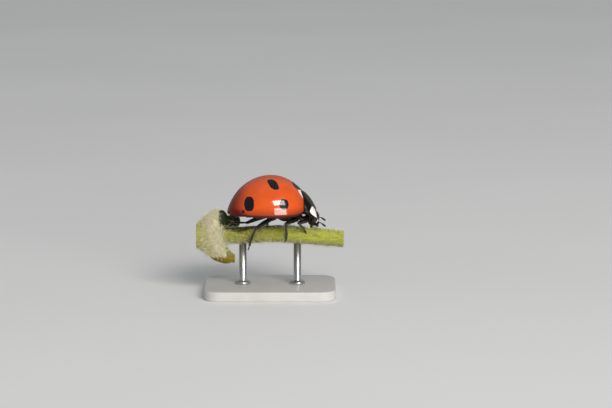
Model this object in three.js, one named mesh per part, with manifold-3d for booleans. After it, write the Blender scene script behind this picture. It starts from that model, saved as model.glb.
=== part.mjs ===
// A seven-spot ladybird clinging to a short cut length of plant stem, on a small display stand.
// Millimetres, +Z up. The beetle faces +X, its left side is +Y, and the origin is the middle
// of the stand's underside. The beetle and the stem share one frame: x as above, z = 0 on the
// stem's axis at x = 0. The body has a frame of its own on the plane of the wing-case margins.
import * as THREE from 'three';
import { mergeVertices } from 'three/addons/utils/BufferGeometryUtils.js';
import Module from 'manifold-3d';

const wasm = await Module();
wasm.setup();

// ---------------------------------------------------------------- driving sizes
const GAP = 0.04; // thin cut between neighbouring pieces
const FINEST = 0.006; // slivers smaller than this are dropped

const BODY = {
  x: -0.34, // middle of the wing cases along the stem
  lift: 1.99, // margin plane above the stem's axis
  roll: THREE.MathUtils.degToRad(4), // the back leans this far to the right side
};

const DOME = {
  halfLength: 3.12,
  halfWidth: 2.8,
  height: 2.785,
  peak: 0.13, // where the back is highest, as a share of the half length
  widest: 0.1,
  foreDrop: { share: 0.52, power: 2.16 }, // height lost towards the base
  foreTaper: { share: 0.44, power: 2.6 }, // width lost towards the base
  rearDropPower: 0.7,
  rearTaperPower: 2.2,
  shell: 0.5, // wall of a wing case
  tailDroop: 0.18, // the rear tip hangs this far under the margin plane
  tailStart: 0.55, // where the droop begins, as a share of the half length
  overrun: 1.1, // the dome is made longer than the wing cases, then cut
};

const SCUTELLUM = { tipX: 2.28, baseX: 3.1, halfWidth: 0.34 };

const BASE_CUT = {
  top: new THREE.Vector3(2.86, 0, 1.56), // front edge of the wing cases on the midline
  lean: Math.atan(0.2), // the cut leans back by this much
};

const PRONOTUM = {
  rearHalfWidth: 1.7,
  rearTop: 1.56,
  rearCorner: 0.1,
  frontX: 4.07,
  frontHalfWidth: 1.3,
  frontTop: 0.0,
  frontCorner: -0.43,
  cornerReach: 0.08, // the front corners stand this far ahead of the middle
  bulge: 0.13,
  bulgePower: 0.8, // under 1 moves the fullest part towards the rear
  shell: 0.5,
  edge: 0.02, // share of the outline that is left off at each end
  side: 0.97,
};

const HEAD = {
  center: new THREE.Vector3(3.83, 0, -0.72),
  radii: new THREE.Vector3(0.53, 0.76, 0.68),
  eye: new THREE.Vector3(3.95, 0.62, -0.62),
  eyeRadii: new THREE.Vector3(0.25, 0.22, 0.31),
  labrum: new THREE.Vector3(4.12, 0, -1.24),
  labrumRadii: new THREE.Vector3(0.25, 0.34, 0.14),
  neckNormal: new THREE.Vector3(0.8, 0, -0.6), // the plane between head and prothorax
  neckPoint: new THREE.Vector3(3.62, 0, -0.36),
  // feeler and palp on the left, from root to tip
  antenna: [[4.1, 0.5, -0.92], [4.3, 0.84, -0.87], [4.52, 0.98, -0.96], [4.8, 0.98, -1.15]],
  palp: [[3.98, 0.34, -1.1], [4.08, 0.62, -1.12]],
};

const TRUNK = {
  waist: 0.25, // where the abdomen meets the thorax
  clearance: 0.05, // between the trunk and the wing cases
  belly: 0.42, // depth of the underside below the margin
  breast: new THREE.Vector3(2.05, 0, -0.25),
  breastRadii: new THREE.Vector3(1.15, 1.45, 0.58),
  prothorax: new THREE.Vector3(3.1, 0, 0.15),
  prothoraxRadii: new THREE.Vector3(0.95, 1.12, 0.82),
};

const STEM = {
  halfLength: 5.95,
  radius: 0.66,
  oldRadius: 0.86, // thicker growth behind the node
  thickening: [3.4, 4.8], // where the radius grows, behind the middle
  fore: { rise: 0.12, slope: -0.09 }, // the axis is a low arch of two runs
  rear: { rise: 0.02, slope: 0.045 },
  softness: 0.1,
  around: 16, // faces around the stalk
  along: 10, // and along it
};

// Sections of the woolly node, from the old stem behind it to the cut leaf stalk under the stem.
// The leaf on its far side is cut back to the swelling at its foot and a short length of stalk.
const NODE = {
  sections: [
    { x: -5.95, top: 0.8, bottom: -1.14, halfWidth: 0.88 },
    { x: -5.3, top: 1.3, bottom: -1.44, halfWidth: 0.98 },
    { x: -4.75, top: 1.72, bottom: -2.05, halfWidth: 1.04 },
    { x: -4.3, top: 1.9, bottom: -2.28, halfWidth: 1.0 },
    { x: -4.0, top: 0.9, bottom: -2.38, halfWidth: 0.86 },
    { x: -3.65, top: -0.8, bottom: -2.42, halfWidth: 0.68 },
    { x: -3.2, top: -1.44, bottom: -2.38, halfWidth: 0.5 },
    { x: -2.85, top: -1.72, bottom: -2.38, halfWidth: 0.36 },
  ],
  swelling: new THREE.Vector3(-3.98, 0.35, 1.15),
  swellingRadii: new THREE.Vector3(0.6, 0.5, 0.8),
  farStalk: [[-4.1, 0.75, 0.6], [-3.35, 1.45, 0.76], [-2.71, 1.91, 0.74]],
  farStalkRadius: 0.5,
  around: 20, // faces around each section
};

const STAND = {
  stemHeight: 4.9, // stem's axis above the floor at x = 0
  baseLength: 10.6,
  baseWidth: 7.4,
  baseHeight: 0.8,
  corner: 1.3,
  bevel: 0.12,
  rodRadius: 0.3,
  rodX: 2.2,
  collarRadius: 0.62,
  collarHeight: 0.28,
  collarBevel: 0.12,
};

const LIMB_RADIUS = 0.25; // legs and feelers are 0.5 mm thick

// Joints of each leg, in the shared frame: hip, trochanter, knee, ankle, ball and toe.
const LEGS = {
  front_right: [[2.78, -0.5, 1.42], [2.86, -0.95, 1.16], [2.34, -1.95, 1.2], [2.72, -1.02, 0.56],
    [2.82, -0.88, 0.38], [2.88, -0.72, 0.2]],
  middle_right: [[1.8, -0.5, 1.5], [2.15, -1.0, 1.3], [1.29, -2.1, 1.16], [1.33, -1.0, 0.06],
    [1.3, -0.93, -0.2], [1.26, -0.78, -0.48]],
  hind_right: [[0.51, -0.55, 1.45], [0.12, -1.0, 1.36], [-1.13, -2.2, 0.77], [-1.52, -1.02, -0.34],
    [-1.62, -0.87, -0.72], [-1.73, -0.72, -1.1]],
  front_left: [[2.78, 0.5, 1.42], [2.95, 0.95, 1.2], [3.26, 1.75, 1.12], [3.36, 0.98, 0.32],
    [3.44, 0.94, 0.0], [3.52, 0.86, -0.34]],
  middle_left: [[1.8, 0.5, 1.5], [1.45, 1.0, 1.4], [-0.18, 1.95, 1.08], [-0.24, 1.02, 0.3],
    [-0.27, 0.99, -0.03], [-0.3, 0.9, -0.36]],
  hind_left: [[0.51, 0.55, 1.45], [0.05, 0.98, 1.38], [-1.88, 1.4, 0.66], [-2.9, 0.84, 0.8],
    [-3.24, 0.76, 0.88], [-3.52, 0.68, 1.0]],
};

// ---------------------------------------------------------------- finishes
const finish = (color, roughness, metalness = 0) => ({ color, roughness, metalness });
const FINISHES = {
  shell: finish('#d84a0a', 0.25),
  black: finish('#121014', 0.3),
  eye: finish('#1c1612', 0.2),
  stem: finish('#a3a83e', 0.8),
  paint: finish('#d9d6cf', 0.5),
  steel: finish('#b4b6b8', 0.3, 1),
};

// ---------------------------------------------------------------- solids and cuts
const model = new THREE.Group();
const specimen = new THREE.Group();
specimen.position.z = STAND.stemHeight;
model.add(specimen);

const bodyMatrix = new THREE.Matrix4()
  .makeRotationX(BODY.roll)
  .setPosition(BODY.x, 0, BODY.lift);

// Six times the volume that a list of triangles encloses, negative where they face inwards.
function signedVolume(positions, index) {
  const [a, b, c] = [new THREE.Vector3(), new THREE.Vector3(), new THREE.Vector3()];
  let volume = 0;
  for (let i = 0; i < index.length; i += 3) {
    a.fromArray(positions, index[i] * 3);
    b.fromArray(positions, index[i + 1] * 3);
    c.fromArray(positions, index[i + 2] * 3);
    volume += a.dot(b.cross(c));
  }
  return volume;
}

// A closed geometry as a solid with its faces pointing out.
function solid(geometry) {
  const bare = geometry.index ? geometry.toNonIndexed() : geometry.clone();
  bare.deleteAttribute('normal');
  bare.deleteAttribute('uv');
  const merged = mergeVertices(bare, 1e-5);
  const positions = Float32Array.from(merged.attributes.position.array);
  const index = Uint32Array.from(merged.index.array);
  if (signedVolume(positions, index) < 0) {
    index.reverse();
  }
  return new wasm.Manifold(new wasm.Mesh({ numProp: 3, vertProperties: positions, triVerts: index }));
}

function bodySolid(geometry) {
  return solid(geometry.clone().applyMatrix4(bodyMatrix));
}

function addNode(name, shape, finishName, parent = specimen) {
  const { vertProperties, triVerts } = shape.simplify(FINEST).getMesh();
  const geometry = new THREE.BufferGeometry();
  geometry.setAttribute('position', new THREE.BufferAttribute(vertProperties, 3));
  geometry.setIndex(new THREE.BufferAttribute(triVerts, 1));
  geometry.computeVertexNormals();
  const mesh = new THREE.Mesh(geometry, new THREE.MeshStandardMaterial(FINISHES[finishName]));
  mesh.name = name;
  parent.add(mesh);
}

// Keeps the side of a plane that its normal points to.
function keepSide(shape, normal, point, gap = GAP / 2) {
  const unit = normal.clone().normalize();
  return shape.trimByPlane(unit.toArray(), unit.dot(point) + gap);
}

// Moves every vertex of a geometry by a function of its position.
function mapped(geometry, map) {
  const position = geometry.attributes.position;
  const from = new THREE.Vector3();
  for (let i = 0; i < position.count; i += 1) {
    from.fromBufferAttribute(position, i);
    const to = map(from);
    position.setXYZ(i, to.x, to.y, to.z);
  }
  return geometry;
}

function ellipsoid(center, radii, grow = 0, around = 14, along = 9) {
  return new THREE.SphereGeometry(1, around, along)
    .scale(radii.x + grow, radii.y + grow, radii.z + grow)
    .translate(center.x, center.y, center.z);
}

// ---------------------------------------------------------------- the domed body
// A section of the dome at s, which runs from -1 at the tail to 1 at the wing cases' base.
function domeShare(s) {
  const { foreDrop, foreTaper } = DOME;
  const back = Math.max(0, (DOME.peak - s) / (1 + DOME.peak));
  const fore = Math.max(0, (s - DOME.peak) / (1 - DOME.peak));
  const rearWide = Math.max(0, (DOME.widest - s) / (1 + DOME.widest));
  const foreWide = Math.max(0, (s - DOME.widest) / (1 - DOME.widest));
  const rearHeight = Math.max(0, 1 - back ** 2) ** DOME.rearDropPower;
  const rearWidth = Math.sqrt(Math.max(0, 1 - rearWide ** DOME.rearTaperPower));
  return {
    height: s < DOME.peak ? rearHeight : 1 - foreDrop.share * fore ** foreDrop.power,
    width: s < DOME.widest ? rearWidth : 1 - foreTaper.share * foreWide ** foreTaper.power,
    droop: DOME.tailDroop * THREE.MathUtils.smoothstep(-s, DOME.tailStart, 1),
  };
}

// The dome shrunk by inset, with an underside that reaches depth below the margin.
function dome(inset, depth, around = 24, along = 16) {
  const sphere = new THREE.SphereGeometry(1, around, along);
  return mapped(sphere, (p) => {
    const s = p.y < 0 ? p.y : p.y * DOME.overrun;
    const share = domeShare(s);
    const rear = s < DOME.peak;
    const ring = Math.max(Math.hypot(p.x, p.z), 1e-6);
    const up = -p.x / ring;
    const width = DOME.halfWidth * share.width - (rear ? inset * share.width : inset);
    const sink = rear ? inset * share.height : inset;
    const height = (DOME.height + share.droop) * share.height - sink;
    const below = depth * Math.min(1, share.width * 1.2);
    return new THREE.Vector3(
      s * (s < 0 ? DOME.halfLength - inset : DOME.halfLength),
      (p.z / ring) * width,
      up * (up > 0 ? height : below) - share.droop,
    );
  });
}

// The plane where the wing cases end and the pronotum starts.
const baseNormal = new THREE.Vector3(Math.cos(BASE_CUT.lean), 0, Math.sin(BASE_CUT.lean));

function keepBody(shape, normal, point, gap) {
  const worldNormal = normal.clone().transformDirection(bodyMatrix);
  const worldPoint = point.clone().applyMatrix4(bodyMatrix);
  return keepSide(shape, worldNormal, worldPoint, gap);
}

function behindBase(shape, gap = GAP / 2) {
  return keepBody(shape, baseNormal.clone().negate(), BASE_CUT.top, gap);
}

// A triangular prism through the front of the suture, for the scutellum and the notch around it.
function scutellumPrism(grow) {
  const outline = new THREE.Shape();
  const width = SCUTELLUM.halfWidth + grow;
  const slant = Math.hypot(SCUTELLUM.baseX - SCUTELLUM.tipX, width) / width;
  outline.moveTo(SCUTELLUM.tipX - grow * slant, 0);
  outline.lineTo(SCUTELLUM.baseX, -width);
  outline.lineTo(SCUTELLUM.baseX, width);
  outline.closePath();
  return new THREE.ExtrudeGeometry(outline, { depth: 2, bevelEnabled: false }).translate(0, 0, 1);
}

function addWingCases() {
  const outer = bodySolid(dome(0, 0));
  const hollow = bodySolid(dome(DOME.shell, 3));
  const shell = behindBase(outer.subtract(hollow));
  addNode('scutellum', shell.intersect(bodySolid(scutellumPrism(0))), 'black');
  const notched = shell.subtract(bodySolid(scutellumPrism(GAP)));
  const origin = new THREE.Vector3();
  for (const [name, side] of [['elytron_left', 1], ['elytron_right', -1]]) {
    addNode(name, keepBody(notched, new THREE.Vector3(0, side, 0), origin), 'shell');
  }
}

// ---------------------------------------------------------------- pronotum
// u runs from the rear edge to the front edge, v from the right margin to the left.
function pronotumPoint(u, v) {
  const p = PRONOTUM;
  const angle = (v * Math.PI) / 2;
  const rearZ = p.rearCorner + (p.rearTop - p.rearCorner) * Math.cos(angle);
  const rear = new THREE.Vector3(
    BASE_CUT.top.x + (p.rearTop - rearZ) * Math.tan(BASE_CUT.lean),
    p.rearHalfWidth * Math.sin(angle),
    rearZ,
  );
  const front = new THREE.Vector3(
    p.frontX + p.cornerReach * v * v,
    p.frontHalfWidth * Math.sin(angle),
    p.frontCorner + (p.frontTop - p.frontCorner) * Math.cos(angle),
  );
  const arch = Math.sin(Math.PI * Math.max(0, u) ** p.bulgePower) * p.bulge;
  const outward = new THREE.Vector3(0.75, 0.8 * Math.sin(angle), 0.62).normalize();
  return rear.lerp(front, u).addScaledVector(outward, arch);
}

function pronotumNormal(u, v) {
  const step = 0.01;
  const alongU = pronotumPoint(u + step, v).sub(pronotumPoint(u - step, v));
  const alongV = pronotumPoint(u, v + step).sub(pronotumPoint(u, v - step));
  return alongU.cross(alongV).normalize();
}

// The plate between two depths under its outer face; spread widens it for use as a cutter.
function pronotumPlate(outerDepth, innerDepth, spread = 0) {
  const block = new THREE.BoxGeometry(1, 1, 1, 6, 12, 1);
  return mapped(block, (p) => {
    const u = 0.5 + p.x * (1 - 2 * PRONOTUM.edge + 2 * spread);
    const v = p.y * 2 * (PRONOTUM.side + spread);
    const depth = p.z > 0 ? outerDepth : innerDepth;
    return pronotumPoint(u, v).addScaledVector(pronotumNormal(u, v), -depth);
  });
}

// ---------------------------------------------------------------- limbs
// A round-ended bar between two joints.
function bar(from, to, radius) {
  const axis = to.clone().sub(from);
  const turn = new THREE.Quaternion().setFromUnitVectors(
    new THREE.Vector3(0, 1, 0),
    axis.clone().normalize(),
  );
  const middle = from.clone().add(to).multiplyScalar(0.5);
  return new THREE.CapsuleGeometry(radius, axis.length(), 2, 8, 1)
    .applyQuaternion(turn)
    .translate(middle.x, middle.y, middle.z);
}

function chain(points, radius, make = solid) {
  let shape = null;
  for (let i = 0; i + 1 < points.length; i += 1) {
    const piece = make(bar(points[i], points[i + 1], radius));
    shape = shape ? shape.add(piece) : piece;
  }
  return shape;
}

const toVectors = (points) => points.map((point) => new THREE.Vector3(...point));

// The normal of the plane that halves the bend of a limb at a joint.
function bendNormal(before, joint, after) {
  const incoming = joint.clone().sub(before).normalize();
  const outgoing = after.clone().sub(joint).normalize();
  return incoming.add(outgoing).normalize();
}

const LEG_PIECES = ['coxa', 'femur', 'tibia', 'tarsus'];

// A leg parted at its joints into coxa, femur, tibia and tarsus.
function legPieces([hip, trochanter, knee, ankle, ball, toe]) {
  const runs = [[hip, trochanter], [trochanter, knee], [knee, ankle], [ankle, ball, toe]];
  return runs.map((run, i) => {
    let shape = chain(run, LIMB_RADIUS);
    if (i > 0) {
      shape = keepSide(shape, bendNormal(runs[i - 1][0], run[0], run[1]), run[0]);
    }
    if (i < runs.length - 1) {
      shape = keepSide(shape, bendNormal(run[0], run[1], runs[i + 1][1]).negate(), run[1]);
    }
    return shape;
  });
}

function addLegs(stem) {
  const cutters = [];
  for (const [name, points] of Object.entries(LEGS)) {
    const joints = toVectors(points);
    cutters.push(chain(joints.slice(0, 3), LIMB_RADIUS + GAP));
    legPieces(joints).forEach((piece, i) => {
      addNode(`leg_${name}_${LEG_PIECES[i]}`, piece.subtract(stem), 'black');
    });
  }
  return cutters;
}

// ---------------------------------------------------------------- trunk and head
function addTrunk(legs) {
  const barrel = bodySolid(dome(DOME.shell + TRUNK.clearance, TRUNK.belly, 18, 10));
  const breast = bodySolid(ellipsoid(TRUNK.breast, TRUNK.breastRadii, 0, 12, 8));
  const trunk = legs.reduce(
    (shape, leg) => shape.subtract(leg),
    behindBase(barrel.add(breast), GAP),
  );
  const waist = new THREE.Vector3(TRUNK.waist, 0, 0);
  const forward = new THREE.Vector3(1, 0, 0);
  addNode('thorax', keepBody(trunk, forward, waist), 'black');
  addNode('abdomen', keepBody(trunk, forward.clone().negate(), waist), 'black');
}

function addForeBody(legs) {
  const plate = keepBody(bodySolid(pronotumPlate(0, PRONOTUM.shell)), baseNormal, BASE_CUT.top);
  addNode('pronotum', plate, 'black');

  const farAbove = -1.6;
  const above = bodySolid(pronotumPlate(farAbove, PRONOTUM.shell + GAP, 0.08));
  let prothorax = bodySolid(ellipsoid(TRUNK.prothorax, TRUNK.prothoraxRadii)).subtract(above);
  prothorax = keepBody(prothorax, baseNormal, BASE_CUT.top, GAP);
  prothorax = keepBody(prothorax, HEAD.neckNormal.clone().negate(), HEAD.neckPoint);
  prothorax = legs.reduce((shape, leg) => shape.subtract(leg), prothorax);
  addNode('prothorax', prothorax, 'black');
}

function addHead(stem) {
  const collar = bodySolid(pronotumPlate(-GAP, PRONOTUM.shell + GAP, 0.02));
  const skull = (grow) => bodySolid(ellipsoid(HEAD.center, HEAD.radii, grow));
  const sides = [['left', 1], ['right', -1]];
  const mirrored = (point, side) => new THREE.Vector3(point[0], point[1] * side, point[2]);
  const eye = (side, grow) => {
    const center = mirrored(HEAD.eye.toArray(), side);
    return bodySolid(ellipsoid(center, HEAD.eyeRadii, grow, 12, 8));
  };
  const feeler = (route, side, grow) => {
    const points = route.map((point) => mirrored(point, side));
    return chain(points, LIMB_RADIUS + grow, bodySolid);
  };
  let head = keepBody(skull(0).subtract(collar), HEAD.neckNormal, HEAD.neckPoint);
  let labrum = bodySolid(ellipsoid(HEAD.labrum, HEAD.labrumRadii, 0, 14, 8)).subtract(skull(GAP));
  labrum = labrum.subtract(stem);
  for (const [name, side] of sides) {
    head = head.subtract(eye(side, GAP));
    addNode(`eye_${name}`, eye(side, 0).subtract(collar), 'eye');
    const antenna = feeler(HEAD.antenna, side, 0).subtract(skull(GAP)).subtract(eye(side, GAP));
    addNode(`antenna_${name}`, antenna, 'black');
    const palp = feeler(HEAD.palp, side, 0).subtract(skull(GAP)).subtract(stem);
    addNode(`palp_${name}`, palp.subtract(feeler(HEAD.antenna, side, GAP)), 'black');
    labrum = labrum.subtract(feeler(HEAD.palp, side, GAP));
    labrum = labrum.subtract(feeler(HEAD.antenna, side, GAP));
  }
  addNode('head', head, 'black');
  addNode('labrum', labrum, 'black');
}

// ---------------------------------------------------------------- the perch
// Height of the stem's axis: a soft minimum of two straight runs.
function stemAxis(x) {
  const fore = STEM.fore.rise + STEM.fore.slope * x;
  const rear = STEM.rear.rise + STEM.rear.slope * x;
  return 0.5 * (fore + rear - Math.hypot(fore - rear, STEM.softness));
}

function stemRadius(x) {
  const share = THREE.MathUtils.smoothstep(-x, ...STEM.thickening);
  return THREE.MathUtils.lerp(STEM.radius, STEM.oldRadius, share);
}

function stalk(grow) {
  const rod = new THREE.CylinderGeometry(1, 1, 1, STEM.around, STEM.along);
  return solid(mapped(rod, (p) => {
    const x = p.y * 2 * STEM.halfLength;
    const radius = stemRadius(x) + grow;
    return new THREE.Vector3(x, p.x * radius, stemAxis(x) + p.z * radius);
  }));
}

// The node as a skin over its elliptical sections.
function nodeBody(grow) {
  const { sections, around } = NODE;
  const last = sections.length - 1;
  const rod = new THREE.CylinderGeometry(1, 1, 1, around, last);
  return solid(mapped(rod, (p) => {
    const row = Math.round((p.y + 0.5) * last);
    const { x, top, bottom, halfWidth } = sections[row];
    const reach = { 0: -grow, [last]: grow }[row] ?? 0;
    const halfHeight = (top - bottom) / 2 + grow;
    return new THREE.Vector3(
      x + reach,
      p.x * (halfWidth + grow),
      (top + bottom) / 2 + p.z * halfHeight,
    );
  }));
}

// The stalk of the leaf on the far side, cut off square.
function farStalk(grow) {
  const path = toVectors(NODE.farStalk);
  const [before, end] = path.slice(-2);
  const outward = end.clone().sub(before).normalize();
  const cut = end.clone().addScaledVector(outward, grow);
  return keepSide(chain(path, NODE.farStalkRadius + grow), outward.negate(), cut);
}

function perch(grow = 0) {
  const swelling = solid(ellipsoid(NODE.swelling, NODE.swellingRadii, grow));
  return stalk(grow).add(nodeBody(grow)).add(swelling).add(farStalk(grow));
}

// ---------------------------------------------------------------- the stand
function standBase() {
  const x = STAND.baseLength / 2 - STAND.bevel - STAND.corner;
  const y = STAND.baseWidth / 2 - STAND.bevel - STAND.corner;
  const outline = new THREE.Shape();
  const corners = [[x, y], [-x, y], [-x, -y], [x, -y]];
  corners.forEach(([cx, cy], i) => {
    outline.absarc(cx, cy, STAND.corner, (i * Math.PI) / 2, ((i + 1) * Math.PI) / 2);
  });
  outline.closePath();
  const plate = new THREE.ExtrudeGeometry(outline, {
    depth: STAND.baseHeight - 2 * STAND.bevel,
    bevelThickness: STAND.bevel,
    bevelSize: STAND.bevel,
    bevelSegments: 1,
    curveSegments: 5,
  });
  return solid(plate.translate(0, 0, STAND.bevel));
}

// A rod with a round foot, up from the base to the stem's underside.
function standRod(x, stem) {
  const bottom = STAND.baseHeight + GAP - STAND.stemHeight;
  const top = stemAxis(x) - bottom;
  const { rodRadius, collarRadius, collarHeight, collarBevel } = STAND;
  const profile = [
    [0, 0],
    [collarRadius, 0],
    [collarRadius, collarHeight - collarBevel],
    [collarRadius - collarBevel, collarHeight],
    [rodRadius, collarHeight],
    [rodRadius, top],
    [0, top],
  ].map(([radius, height]) => new THREE.Vector2(radius, height));
  const rod = new THREE.LatheGeometry(profile, 16);
  rod.rotateX(Math.PI / 2);
  rod.translate(x, 0, bottom);
  return solid(rod).subtract(stem);
}

const clearStem = perch(GAP);
addNode('perch_stem', perch(), 'stem');
addWingCases();
const clearLegs = addLegs(clearStem);
addTrunk(clearLegs);
addForeBody(clearLegs);
addHead(clearStem);
addNode('stand_base', standBase(), 'paint', model);
addNode('stand_rod_front', standRod(STAND.rodX, clearStem), 'steel');
addNode('stand_rod_rear', standRod(-STAND.rodX, clearStem), 'steel');

export default model;
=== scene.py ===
"""A seven-spot ladybird on a cut length of stem, on its display stand: the looks.

Meshes are worked out in millimetres and stored in metres. Two frames are used, as in the CAD:
the specimen frame has z = 0 on the stem's axis at x = 0, and the body frame lies on the plane
of the wing-case margins. In both, x runs forwards and y to the beetle's left.
"""

import bmesh
import bpy
import numpy as np
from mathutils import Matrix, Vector


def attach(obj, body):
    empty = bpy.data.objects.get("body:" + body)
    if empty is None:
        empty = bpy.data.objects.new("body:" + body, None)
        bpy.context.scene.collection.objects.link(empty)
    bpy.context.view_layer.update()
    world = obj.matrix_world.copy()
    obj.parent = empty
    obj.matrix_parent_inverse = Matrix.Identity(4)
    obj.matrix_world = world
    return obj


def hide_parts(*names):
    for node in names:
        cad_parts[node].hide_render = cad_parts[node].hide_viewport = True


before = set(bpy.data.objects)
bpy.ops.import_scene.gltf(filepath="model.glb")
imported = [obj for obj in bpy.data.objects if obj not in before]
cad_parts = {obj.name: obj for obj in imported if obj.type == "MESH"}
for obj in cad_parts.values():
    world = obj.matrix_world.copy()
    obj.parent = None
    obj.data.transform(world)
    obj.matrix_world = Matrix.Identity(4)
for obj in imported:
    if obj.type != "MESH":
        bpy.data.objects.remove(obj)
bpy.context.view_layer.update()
rng = np.random.default_rng(7)

MM = 0.001
STEM_Z = 4.9  # the stem's axis above the floor
BODY_PLACE = (-0.34, 0, 1.99)  # the body frame's origin in the specimen frame
BODY_ROLL = np.radians(4)  # how far the back leans to the beetle's right

# -------- frames and numbers


def rotation_x(angle):
    c, s = np.cos(angle), np.sin(angle)
    return np.array([[1, 0, 0], [0, c, -s], [0, s, c]])


def rotation_y(angle):
    c, s = np.cos(angle), np.sin(angle)
    return np.array([[c, 0, s], [0, 1, 0], [-s, 0, c]])


def from_body(points):
    """Body frame to specimen frame."""
    return points @ rotation_x(BODY_ROLL).T + BODY_PLACE


def to_world(points):
    """Specimen frame in millimetres to the shared frame in metres."""
    return (points + (0, 0, STEM_Z)) * MM


def unit(v):
    return v / np.maximum(np.linalg.norm(v, axis=-1, keepdims=True), 1e-12)


def smooth_max(values, softness):
    """The greatest of some arrays, with the corners between them rounded."""
    values = np.stack(np.broadcast_arrays(*values))
    top = values.max(0)
    return top + softness * np.log(np.exp((values - top) / softness).sum(0))


def ease(x, low, high):
    """Goes smoothly from 0 at low to 1 at high."""
    t = np.clip((x - low) / (high - low), 0, 1)
    return t * t * (3 - 2 * t)


def bell(x, middle, spread):
    """1 at the middle, and smoothly less on both sides."""
    return np.exp(-((x - middle) / spread) ** 2)


def xyz(x, y, z):
    """Points from coordinates; a single number serves for all of them."""
    return np.stack(np.broadcast_arrays(x, y, z), -1)


def full_turn(count):
    """Angles evenly spaced round a circle."""
    return np.linspace(0, 2 * np.pi, count, endpoint=False)


def spline(points, count):
    """A smooth curve through a few points."""
    points = np.asarray(points, float)
    padded = np.vstack([2 * points[0] - points[1], points, 2 * points[-1] - points[-2]])
    t = np.linspace(0, len(points) - 1, count)
    i = np.minimum(t.astype(int), len(points) - 2)
    f = (t - i)[:, None]
    a, b, c, d = (padded[i + k] for k in range(4))
    return 0.5 * (2 * b + (c - a) * f + (2 * a - 5 * b + 4 * c - d) * f * f
                  + (3 * b - a - 3 * c + d) * f ** 3)


# -------- shapes
# A shape is a pair of points and faces, in millimetres.


def grid_faces(rows, columns, closed=False):
    """Quads between the rows of a grid; closed joins its last column to its first."""
    starts = range(0, (rows - 1) * columns, columns)
    pairs = [(j, (j + 1) % columns) for j in range(columns if closed else columns - 1)]
    return [(a + j, a + columns + j, a + columns + k, a + k) for a in starts for j, k in pairs]


def loop_body(rings):
    """A closed shape from rings of points, capped at both ends."""
    rings = np.asarray(rings, float)
    rows, columns = rings.shape[:2]
    faces = grid_faces(rows, columns, closed=True)
    faces += [range(columns)[::-1], range((rows - 1) * columns, rows * columns)]
    return rings.reshape(-1, 3), faces


def plate(top, low):
    """A closed shape between two grids of points of the same size."""
    rows, columns = top.shape[:2]
    size = rows * columns
    faces = grid_faces(rows, columns)
    faces += [tuple(i + size for i in face[::-1]) for face in faces]
    index = np.arange(size).reshape(rows, columns)
    border = [*index[0], *index[1:, -1], *index[-1, -2::-1], *index[-2:0:-1, 0]]
    faces += [(a, b, b + size, a + size) for a, b in zip(border, border[1:] + border[:1])]
    return np.vstack([top.reshape(-1, 3), low.reshape(-1, 3)]), faces


def sweep(path, radii, sides=16, flat=1, round_ends=True):
    """A limb along a path; flat squeezes it in the upright plane through the path."""
    radii = np.broadcast_to(radii, len(path))
    tangent = unit(np.gradient(path, axis=0))
    side = unit(np.cross(tangent, (0, 0, 1)))
    top = unit(np.cross(side, tangent))
    sections = list(zip(path, radii, side, top))
    if round_ends:
        for end, sign in ((0, -1), (-1, 1)):
            cap = []
            for angle in np.radians([30, 55, 75, 88]):
                reach = sign * tangent[end] * radii[end] * np.sin(angle) * 0.9
                cap.append((path[end] + reach, radii[end] * np.cos(angle), side[end], top[end]))
            sections = cap[::-1] + sections if sign < 0 else sections + cap
    angle = full_turn(sides)[:, None]
    return loop_body([centre + size * np.cos(angle) * across + size * flat * np.sin(angle) * up
                      for centre, size, across, up in sections])


def ball(centre, radii, turn=np.eye(3), segments=32, rings=20):
    """An ellipsoid, turned by a matrix."""
    a = np.pi * np.arange(1, rings)[:, None] / rings
    b = full_turn(segments)
    points, faces = loop_body(xyz(np.sin(a) * np.cos(b), np.sin(a) * np.sin(b), np.cos(a)))
    return points * radii @ np.transpose(turn) + centre, faces


def joined(shapes):
    """Several shapes as one."""
    points, faces, start = [], [], 0
    for p, f in shapes:
        points.append(p)
        faces += [tuple(i + start for i in face) for face in f]
        start += len(p)
    return np.vstack(points), faces


# -------- pieces


def new_object(name, data):
    thing = bpy.data.objects.new(name, data)
    bpy.context.collection.objects.link(thing)
    return thing


def mesh_object(name, points, faces):
    """A mesh from points in the shared frame."""
    mesh = bpy.data.meshes.new(name)
    mesh.from_pydata(points.tolist(), [], [tuple(map(int, face)) for face in faces])
    mesh.validate()
    return new_object(name, mesh)


def stored(items, key, width=1, kind=float):
    """What a list of a mesh's parts stores under a key, as rows."""
    values = np.empty(len(items) * width, kind)
    items.foreach_get(key, values)
    return values.reshape(-1, width)


def outward(piece):
    """Turns the faces of a closed mesh to point out."""
    bm = bmesh.new()
    bm.from_mesh(piece.data)
    bmesh.ops.recalc_face_normals(bm, faces=bm.faces)
    bm.to_mesh(piece.data)
    bm.free()


def fused(shapes, voxel, smoothing):
    """Melts overlapping closed shapes into one smooth shape."""
    piece = mesh_object("melting", *joined(shapes))
    outward(piece)
    remesh = piece.modifiers.new("melt", "REMESH")
    remesh.mode = "VOXEL"
    remesh.voxel_size = voxel
    soften = piece.modifiers.new("soften", "SMOOTH")
    soften.iterations = smoothing
    soften.factor = 0.5
    shape = piece.evaluated_get(bpy.context.evaluated_depsgraph_get()).to_mesh()
    points = stored(shape.vertices, "co", 3)
    faces = [tuple(p.vertices) for p in shape.polygons]
    bpy.data.meshes.remove(piece.data)
    return points, faces


def finish_piece(piece, finish, nodes=()):
    """Gives a piece its finish and its place in the frame's table."""
    piece.data.shade_smooth()
    piece.data.materials.append(finish.material)
    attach(piece, "root")
    if nodes:
        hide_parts(*nodes)


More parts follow.
